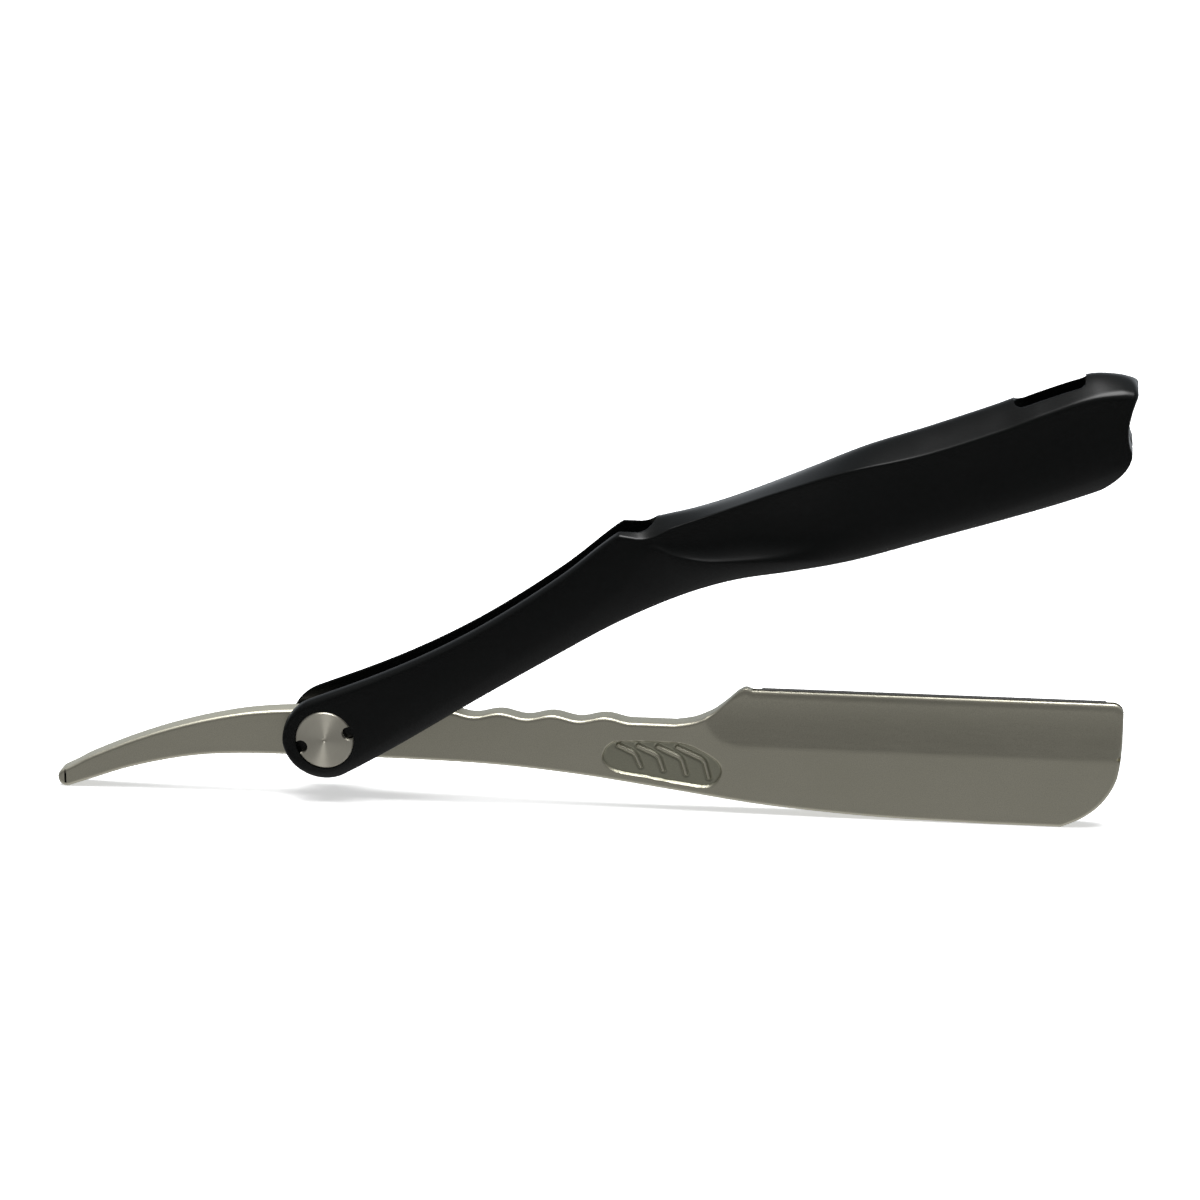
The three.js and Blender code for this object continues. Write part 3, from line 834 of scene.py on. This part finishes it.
def part_of(line, count, start=0.0, end=0.0):
    """A polyline drawn again with evenly spaced points, with a length left off at each end."""
    along = np.concatenate([[0], np.cumsum(np.hypot(*np.diff(line, axis=0).T))])
    start, end = min(start, 0.45 * along[-1]), min(end, 0.45 * along[-1])
    places = np.linspace(start, along[-1] - end, count)
    return np.column_stack([np.interp(places, along, line[:, 0]), np.interp(places, along, line[:, 1])])


def half_section(u, gap, walled=False):
    """The (w, v) points round one half of the handle's section, from its top middle outwards and back inside.

    Where it is walled off, only the blade's slot is left of the channel.
    """
    top = float(leg_top(u) if u < SHOULDER else body_top(u))
    width, drop, low = float(crease_width(u)), float(crease_drop(u)), float(foot_line(u))
    lip, reach, foot = float(lip_height(u)), float(lip_width(u)), float(foot_width(u))
    under = BLADE_WAY["top"] if walled else min(float(roof_under(u)), top - 2)
    inner_half = BLADE_WAY["half"] if walled else GAP_HALF
    curl, crease_r, lip_r = float(side_curl(u)), float(crease_round(u)), float(lip_round(u))
    gap_r = min(0.35, 0.8 * gap)
    roof_r = min(0.8, (inner_half - gap) / 2)

    def crown(w):
        return top - drop * (np.hypot(w, 2) - 2) / (math.hypot(width, 2) - 2)

    crown_w = np.maximum(np.linspace(0, 1, 16) * (width - crease_r), gap + gap_r)
    crown_line = np.column_stack([crown_w, crown(crown_w)])
    t = np.linspace(0, 1, 60) ** 2
    side = np.column_stack([width + (reach - width) * t**curl, top - drop + (lip - top + drop) * t])
    side_line = part_of(side, 26, crease_r, lip_r)
    turn = np.linspace(0, math.pi / 2, 40)
    flank = np.column_stack([foot + (reach - foot) * np.cos(turn), lip + (low - lip) * np.sin(turn)])
    flank_line = part_of(flank, 16, lip_r, 0)
    inner_foot = 0.4
    wall = part_of(np.array([(inner_half, low + inner_foot), (inner_half, under - roof_r)]), 18)
    under_w = np.maximum(np.linspace(1, 0, 8) * (inner_half - roof_r), gap)
    under_line = np.column_stack([under_w, np.full(8, under)])
    gap_wall = part_of(np.array([(gap, under), (gap, float(crown(gap)) - gap_r)]), 5)
    return np.vstack(
        [
            crown_line,
            arc_between(crown_line[-1], (width, top - drop), side_line[0], 6)[1:-1],
            side_line,
            arc_between(side_line[-1], (reach, lip), flank_line[0], 6)[1:-1],
            flank_line,
            [((foot + inner_half + inner_foot) / 2, low)],
            arc_between((inner_half + inner_foot, low), (inner_half, low), wall[0], 5)[:-1],
            wall,
            arc_between(wall[-1], (inner_half, under), under_line[0], 5)[1:-1],
            under_line,
            gap_wall[1:],
            arc_between(gap_wall[-1], (gap, float(crown(gap))), crown_line[0], 5)[1:-1],
        ]
    )


GAP_WALL_POINTS = 8  # the last points of a half section, which only exist where the roof is open

# The legs' round ends: the section at the pivot shrinks along a circle, and its rim is rounded over.
pivot_section = half_section(0.0, GAP_HALF)
handle_rings = []
handle_gaps = []
for turn in np.radians(np.linspace(88.6, 0, 24)[:-1]):
    u = -LEG_END * math.sin(turn)
    w = pivot_section[:, 0].copy()
    v = LEG_END_RISE + (pivot_section[:, 1] - LEG_END_RISE) * math.cos(turn)
    rim = np.clip(np.hypot(u, v - LEG_END_RISE) - (LEG_END - LEG_RIM), 0, LEG_RIM)
    rim_w = LEG_HALF - LEG_RIM + np.sqrt(LEG_RIM**2 - rim**2)
    w = np.where(w > GAP_HALF + 0.01, np.maximum(np.minimum(w, rim_w), GAP_HALF), w)
    handle_rings.append([(u, across, up) for across, up in zip(w, v)])
    handle_gaps.append(GAP_HALF)

# The length of the handle, with stations crowded where its openings turn.
fork_turn = FORK_END - GAP_HALF * (1 - np.sin(np.linspace(0, math.pi / 2, 15)))
window_turn = WINDOW["corner"] * (1 - np.cos(np.linspace(0, math.pi / 2, 9)))
window_from, window_to = WINDOW["from"], WINDOW["to"]
places = [(u, False) for u in np.arange(0, SHOULDER - 0.6, 0.8)]
places += [(u, False) for u in (SHOULDER - 0.5, SHOULDER - 0.2, SHOULDER, SHOULDER + 0.3)]
places += [(u, False) for u in fork_turn]
places += [(u, False) for u in np.arange(FORK_END + 0.3, 80, 0.3)]
places += [(u, False) for u in np.arange(80, window_from - 0.4, 0.6)]
places += [(window_from, False)] + [(u, True) for u in window_from + window_turn]
places += [(u, False) for u in np.arange(window_from + 2.2, window_to - 2, 0.5)]
places += [(u, False) for u in window_to - window_turn[::-1]] + [(window_to, True)]
places += [(CHANNEL_END, False), (CHANNEL_END, True)]
places += [(u, False) for u in np.arange(CHANNEL_END + 0.3, HANDLE_END - 0.7, 0.3)]
places += [(HANDLE_END - 0.7 * (1 - share), False) for share in np.sin(np.linspace(0, math.pi / 2, 8))]
for u, past in places:
    gap = gap_half(u, past)
    walled = u > CHANNEL_END or (u == CHANNEL_END and past)
    handle_rings.append([(u, across, up) for across, up in half_section(u, gap, walled)])
    handle_gaps.append(gap)

# The fish-tailed end: towards it each station bends until the last one lies on the end's own curve.
end_curve = through(
    [
        (134, -4.6),
        (138, -4.4),
        (143, -3.4),
        (146.5, -2),
        (148.5, 0),
        (148.75, 2.2),
        (149.5, 4.6),
        (150.9, 6.9),
        (152.4, 8.9),
        (153, 10.6),
        (152, 12.2),
        (149.5, 13.7),
        (146.5, 14.6),
    ]
)
handle_rings = np.array(handle_rings)


def end_bend(u, v):
    """Where a point of station u lies along the handle, at height v, once the end is drawn in."""
    end = np.interp(v, end_curve[:, 1], end_curve[:, 0])
    start = np.minimum(CHANNEL_END, end - 2.2)
    return np.where(u <= start, u, start + (end - start) * (u - start) / (HANDLE_END - start))


tail_first = int(np.argmax(handle_rings[:, 0, 0] > 134))
tail = handle_rings[tail_first:].copy()
tail_places = tail[:, 0, 0]
for k in range(tail.shape[1]):
    u, w, v = tail_places.copy(), tail[:, k, 1].copy(), tail[:, k, 2].copy()
    for _ in range(8):
        u = end_bend(tail_places, v)
        v = np.where(u == tail_places, tail[:, k, 2], np.interp(u, tail_places, tail[:, k, 2]))
    bent = u != tail_places
    handle_rings[tail_first:, k, 0] = u
    handle_rings[tail_first:, k, 1] = np.where(bent, np.interp(u, tail_places, tail[:, k, 1]), w)
    handle_rings[tail_first:, k, 2] = v

# The rim of the end is rounded over: its last stations shrink towards the middle of the wall.
END_ROUND = 0.6
shell_points = handle_rings.shape[1] - GAP_WALL_POINTS
for i, place in enumerate(tail_places):
    left = HANDLE_END - place
    if left < END_ROUND:
        shell = handle_rings[tail_first + i, :shell_points]
        along = np.gradient(shell[:, 1:], axis=0)
        along /= np.maximum(np.hypot(*along.T), 1e-9)[:, None]
        shrink = END_ROUND - math.sqrt(END_ROUND**2 - (END_ROUND - left) ** 2)
        inward = np.column_stack([along[:, 1], -along[:, 0]]) * shrink
        inward[shell[:, 1] < 0.01, 0] = 0
        shell[:, 1:] += inward

ring_count, ring_points = handle_rings.shape[:2]
handle_points, handle_faces = [], []
for side in (-1, 1):
    base = len(handle_points)
    handle_points += [tuple(point) for point in (handle_rings * (1, side, 1)).reshape(-1, 3)]
    for i in range(ring_count - 1):
        roofed = handle_gaps[i] == 0 and handle_gaps[i + 1] == 0
        for j in range(ring_points):
            if roofed and j >= shell_points - 1:
                continue
            k = (j + 1) % ring_points
            near, far = base + i * ring_points, base + (i + 1) * ring_points
            handle_faces.append((near + j, near + k, far + k, far + j))
    handle_faces.append(tuple(range(base, base + ring_points)))
last = (ring_count - 1) * ring_points
near_end = [last + k for k in range(shell_points)]
far_end = [ring_count * ring_points + last + k for k in range(shell_points)]
end_loop = near_end + far_end[::-1]
flat_loop = [Vector((handle_points[i][1], handle_points[i][2], 0)) for i in end_loop]
handle_faces += [tuple(end_loop[i] for i in corner) for corner in tessellate_polygon([flat_loop])]


def black_resin_finish():
    """Moulded black resin: satin, a little cloudy where hands polish it, with a fine spark-eroded grain."""
    material, tree, shader = new_finish("black_resin", 0.0, Specular_IOR_Level=0.22)
    grain = add_node(tree, "ShaderNodeGroup", {}, node_tree=fine_grain)
    grain.inputs["Size"].default_value = 0.12
    grain.inputs["Drift"].default_value = 9.0
    tone = mix(tree, grain.outputs["Speckle"], (0.001, 0.0013, 0.0013), (0.0022, 0.0026, 0.0025))
    tree.links.new(tone, shader.inputs["Base Color"])
    rough = add_node(
        tree,
        "ShaderNodeMapRange",
        {"Value": grain.outputs["Cloud"], "To Min": 0.2, "To Max": 0.27},
    )
    tree.links.new(rough.outputs["Result"], shader.inputs["Roughness"])
    bump = add_node(
        tree,
        "ShaderNodeBump",
        {"Height": grain.outputs["Height"], "Strength": 0.15, "Distance": 0.00002},
    )
    tree.links.new(bump.outputs["Normal"], shader.inputs["Normal"])
    return material


black_resin = black_resin_finish()
handle_place = Matrix.Translation(pivot) @ Matrix.Rotation(-OPEN_ANGLE, 4, "Y")
handle = mesh_object("handle_finished", handle_points, handle_faces)
seat = LEG_HALF - HEAD_DISC["recess"]
seat_r = HEAD_DISC["r"] + HEAD_DISC["clearance"]
cut(handle, drill(BARREL["outer"] + 0.15, -9, 9), drill(seat_r, seat, 9), drill(seat_r, -9, -seat))
handle.data.transform(handle_place)
finish_piece(handle, black_resin, "handle", "black_resin", "handle", crease=40)

# ---------- Pivot screw and barrel nut ----------
# Both halves of the pivot are turned from stainless bar: a flat head with a chamfered rim, a turning centre
# in its middle and two drive notches, and below it the screw's pin or the nut's sleeve. The faces keep fine
# rings.
NOTCH = {"r": 1.2, "at": 4.45, "angle": math.radians(-4)}
SCREW_R = 1.44
SCREW_END = -4
SLEEVE_END = -4.5
SLEEVE_TOP = 4.3
HEAD_FACE = LEG_HALF - 0.05
CENTRE = {"r": 0.45, "deep": 0.3}


def notch_drills():
    """The two round cutters of the drive notches, which go right through the head."""
    tools = []
    for turn in (NOTCH["angle"], NOTCH["angle"] + math.pi):
        x, z = NOTCH["at"] * math.cos(turn), NOTCH["at"] * math.sin(turn)
        tools.append(drill(NOTCH["r"], HEAD_FACE - HEAD_DISC["thick"] - 0.3, 9, x, z, 48))
    return tools


def head_profile(stem_r):
    """The (radius, y) outline of a head from its centre to its stem, with the head's face at +Y."""
    r, thick, chamfer = HEAD_DISC["r"], HEAD_DISC["thick"], 0.22
    return [
        (0, HEAD_FACE - CENTRE["deep"]),
        (CENTRE["r"], HEAD_FACE),
        (r * 0.5, HEAD_FACE),
        (r - chamfer, HEAD_FACE),
        (r, HEAD_FACE - chamfer),
        (r, HEAD_FACE - thick + 0.1),
        (r - 0.1, HEAD_FACE - thick),
        (stem_r, HEAD_FACE - thick),
    ]


def turned_steel_finish():
    """Face-turned stainless steel: bright, with fine rings that spread its shine into rays."""
    material, tree, shader = new_finish("turned_steel", 1.0, Anisotropic=0.9, Anisotropic_Rotation=0.25)
    place = add_node(tree, "ShaderNodeTexCoord").outputs["Object"]
    parts = add_node(tree, "ShaderNodeSeparateXYZ", {"Vector": place})
    flat = add_node(tree, "ShaderNodeCombineXYZ", {"X": parts.outputs["X"], "Y": parts.outputs["Z"]})
    radius = add_node(tree, "ShaderNodeVectorMath", {0: flat.outputs[0]}, operation="LENGTH")
    rings = add_node(
        tree,
        "ShaderNodeTexNoise",
        {"W": radius.outputs["Value"], "Scale": 14000.0, "Detail": 1.0},
        noise_dimensions="1D",
    )
    grain = add_node(tree, "ShaderNodeGroup", {}, node_tree=fine_grain)
    grain.inputs["Size"].default_value = 0.25
    grain.inputs["Drift"].default_value = 4.0
    tone = mix(tree, rings.outputs["Fac"], (0.7, 0.67, 0.57), (0.86, 0.83, 0.72))
    tone = mix(tree, ramp(tree, grain.outputs["Cloud"], (0, 0.0), (1, 0.2)), tone, (0.5, 0.47, 0.4))
    tree.links.new(tone, shader.inputs["Base Color"])
    rough = add_node(
        tree,
        "ShaderNodeMapRange",
        {"Value": rings.outputs["Fac"], "To Min": 0.42, "To Max": 0.54},
    )
    tree.links.new(rough.outputs["Result"], shader.inputs["Roughness"])
    tangent = add_node(tree, "ShaderNodeTangent", direction_type="RADIAL", axis="Y")
    tree.links.new(tangent.outputs["Tangent"], shader.inputs["Tangent"])
    return material


def pivot_half(name, profile, flip, node):
    """One half of the pivot, kept about its own axis so that its rings turn about the pivot."""
    piece = turned(name, profile, 128)
    cut(piece, *notch_drills())
    if flip:
        mirror = Matrix.Scale(-1, 4, (0, 1, 0))
        piece.data.transform(mirror)
        piece.data.flip_normals()
    piece.matrix_world = handle_place
    finish_piece(piece, turned_steel, "handle", "turned_steel", node, crease=30)


turned_steel = turned_steel_finish()
screw_profile = head_profile(SCREW_R) + [
    (SCREW_R, SCREW_END + 0.1),
    (SCREW_R - 0.2, SCREW_END),
    (0, SCREW_END),
]
pivot_half("pivot_screw_finished", screw_profile, True, "pivot_screw")
barrel_outer, barrel_inner = BARREL["outer"], BARREL["inner"]
barrel_profile = head_profile(barrel_outer) + [
    (barrel_outer, SLEEVE_END + 0.1),
    (barrel_outer - 0.1, SLEEVE_END),
    (barrel_inner, SLEEVE_END),
    (barrel_inner, SLEEVE_TOP),
    (0, SLEEVE_TOP),
]
pivot_half("pivot_barrel_finished", barrel_profile, False, "pivot_barrel")

# ---------- Blade ----------
# A thin strip of hardened blade steel with clipped corners, ground on both sides to the cutting edge. It is
# gripped by its clip and slides out towards the toe.
BLADE = {"heel": 75.4, "length": 60, "edge": 10.8, "back": 4.8, "half": 0.13, "bevel": 0.9, "clip": 0.6}


def blade_ring(x):
    """One station of the strip: flat sides, and the ground bevels up to the edge."""
    end = min(x - BLADE["heel"], BLADE["heel"] + BLADE["length"] - x)
    edge = BLADE["edge"] - max(0, BLADE["clip"] - end)
    back = BLADE["back"] + max(0, 0.25 - end)
    half = BLADE["half"]
    shoulder = edge - BLADE["bevel"]
    right = [(x, half, back + 0.05), (x, half, shoulder), (x, half * 0.45, shoulder + 0.6), (x, 0.006, edge)]
    left = [(x, -y, z) for _, y, z in right[::-1]]
    return [(x, half - 0.05, back)] + right + left + [(x, 0.05 - half, back)]


def blade_steel_finish():
    """Polished blade steel with fine upright grinding lines on its bevel and a faint film of oil."""
    material, tree, shader = new_finish("blade_steel", 1.0)
    place = add_node(tree, "ShaderNodeTexCoord").outputs["Object"]
    stretch = add_node(tree, "ShaderNodeMapping", {"Vector": place, "Scale": (16000, 900, 900)})
    lines = add_node(tree, "ShaderNodeTexNoise", {"Vector": stretch.outputs[0], "Scale": 1.0, "Detail": 2.0})
    grain = add_node(tree, "ShaderNodeGroup", {}, node_tree=fine_grain)
    grain.inputs["Size"].default_value = 0.3
    grain.inputs["Drift"].default_value = 6.0
    tone = mix(tree, grain.outputs["Cloud"], (0.56, 0.56, 0.55), (0.68, 0.68, 0.67))
    tree.links.new(tone, shader.inputs["Base Color"])
    rough = add_node(
        tree,
        "ShaderNodeMapRange",
        {"Value": lines.outputs["Fac"], "To Min": 0.16, "To Max": 0.34},
    )
    tree.links.new(rough.outputs["Result"], shader.inputs["Roughness"])
    return material


blade_steel = blade_steel_finish()
blade_end = BLADE["heel"] + BLADE["length"]
clipped = [0, 0.25, BLADE["clip"]]
blade_places = [BLADE["heel"] + x for x in clipped] + [blade_end - x for x in clipped[::-1]]
points, faces = loft([blade_ring(x) for x in blade_places])
blade = mesh_object("razor_blade_finished", points, faces)
blade.data.transform(Matrix.Translation(pivot))
finish_piece(blade, blade_steel, "blade", "blade_steel", "razor_blade", crease=8)

# ---------- Clip, pins, bush and washers ----------
# The clip is folded from spring strip and sits in the head's slot on two cross pins. A brass bush lines the
# tang, and nylon washers and a wave washer fill the fork on each side of it. Their drawn shapes are used as
# they are, so only their finishes are made here.
def small_part_finish(name, metallic, dark, light, rough, size):
    """A finish for a small part: its colour and roughness drift with a fine grain of the given size."""
    material, tree, shader = new_finish(name, metallic)
    grain = add_node(tree, "ShaderNodeGroup", {}, node_tree=fine_grain)
    grain.inputs["Size"].default_value = size
    grain.inputs["Drift"].default_value = 5.0
    tone = mix(tree, grain.outputs["Speckle"], dark, light)
    tree.links.new(tone, shader.inputs["Base Color"])
    spread = add_node(
        tree,
        "ShaderNodeMapRange",
        {"Value": grain.outputs["Cloud"], "To Min": rough - 0.05, "To Max": rough + 0.05},
    )
    tree.links.new(spread.outputs["Result"], shader.inputs["Roughness"])
    bump = add_node(
        tree,
        "ShaderNodeBump",
        {"Height": grain.outputs["Height"], "Strength": 0.2, "Distance": 0.00002},
    )
    tree.links.new(bump.outputs["Normal"], shader.inputs["Normal"])
    return material


spring_steel = small_part_finish("spring_steel", 1.0, (0.46, 0.45, 0.43), (0.56, 0.55, 0.53), 0.3, 0.1)
bush_brass = small_part_finish("bush_brass", 1.0, (0.52, 0.37, 0.15), (0.6, 0.44, 0.2), 0.3, 0.2)
washer_nylon = small_part_finish("washer_nylon", 0.0, (0.012, 0.012, 0.013), (0.02, 0.02, 0.021), 0.5, 0.3)
small_parts = {
    "clamp_spring": (spring_steel, "spring_steel"),
    "clamp_pin_heel": (spring_steel, "spring_steel"),
    "clamp_pin_toe": (spring_steel, "spring_steel"),
    "wave_washer": (spring_steel, "spring_steel"),
    "tang_bush": (bush_brass, "bush_brass"),
    "front_thrust_washer": (washer_nylon, "washer_nylon"),
    "rear_thrust_washer": (washer_nylon, "washer_nylon"),
}
for node_name, (finish, slot_name) in small_parts.items():
    part = frame["nodes"][node_name]
    part.data.materials.clear()
    part.data.materials.append(finish)
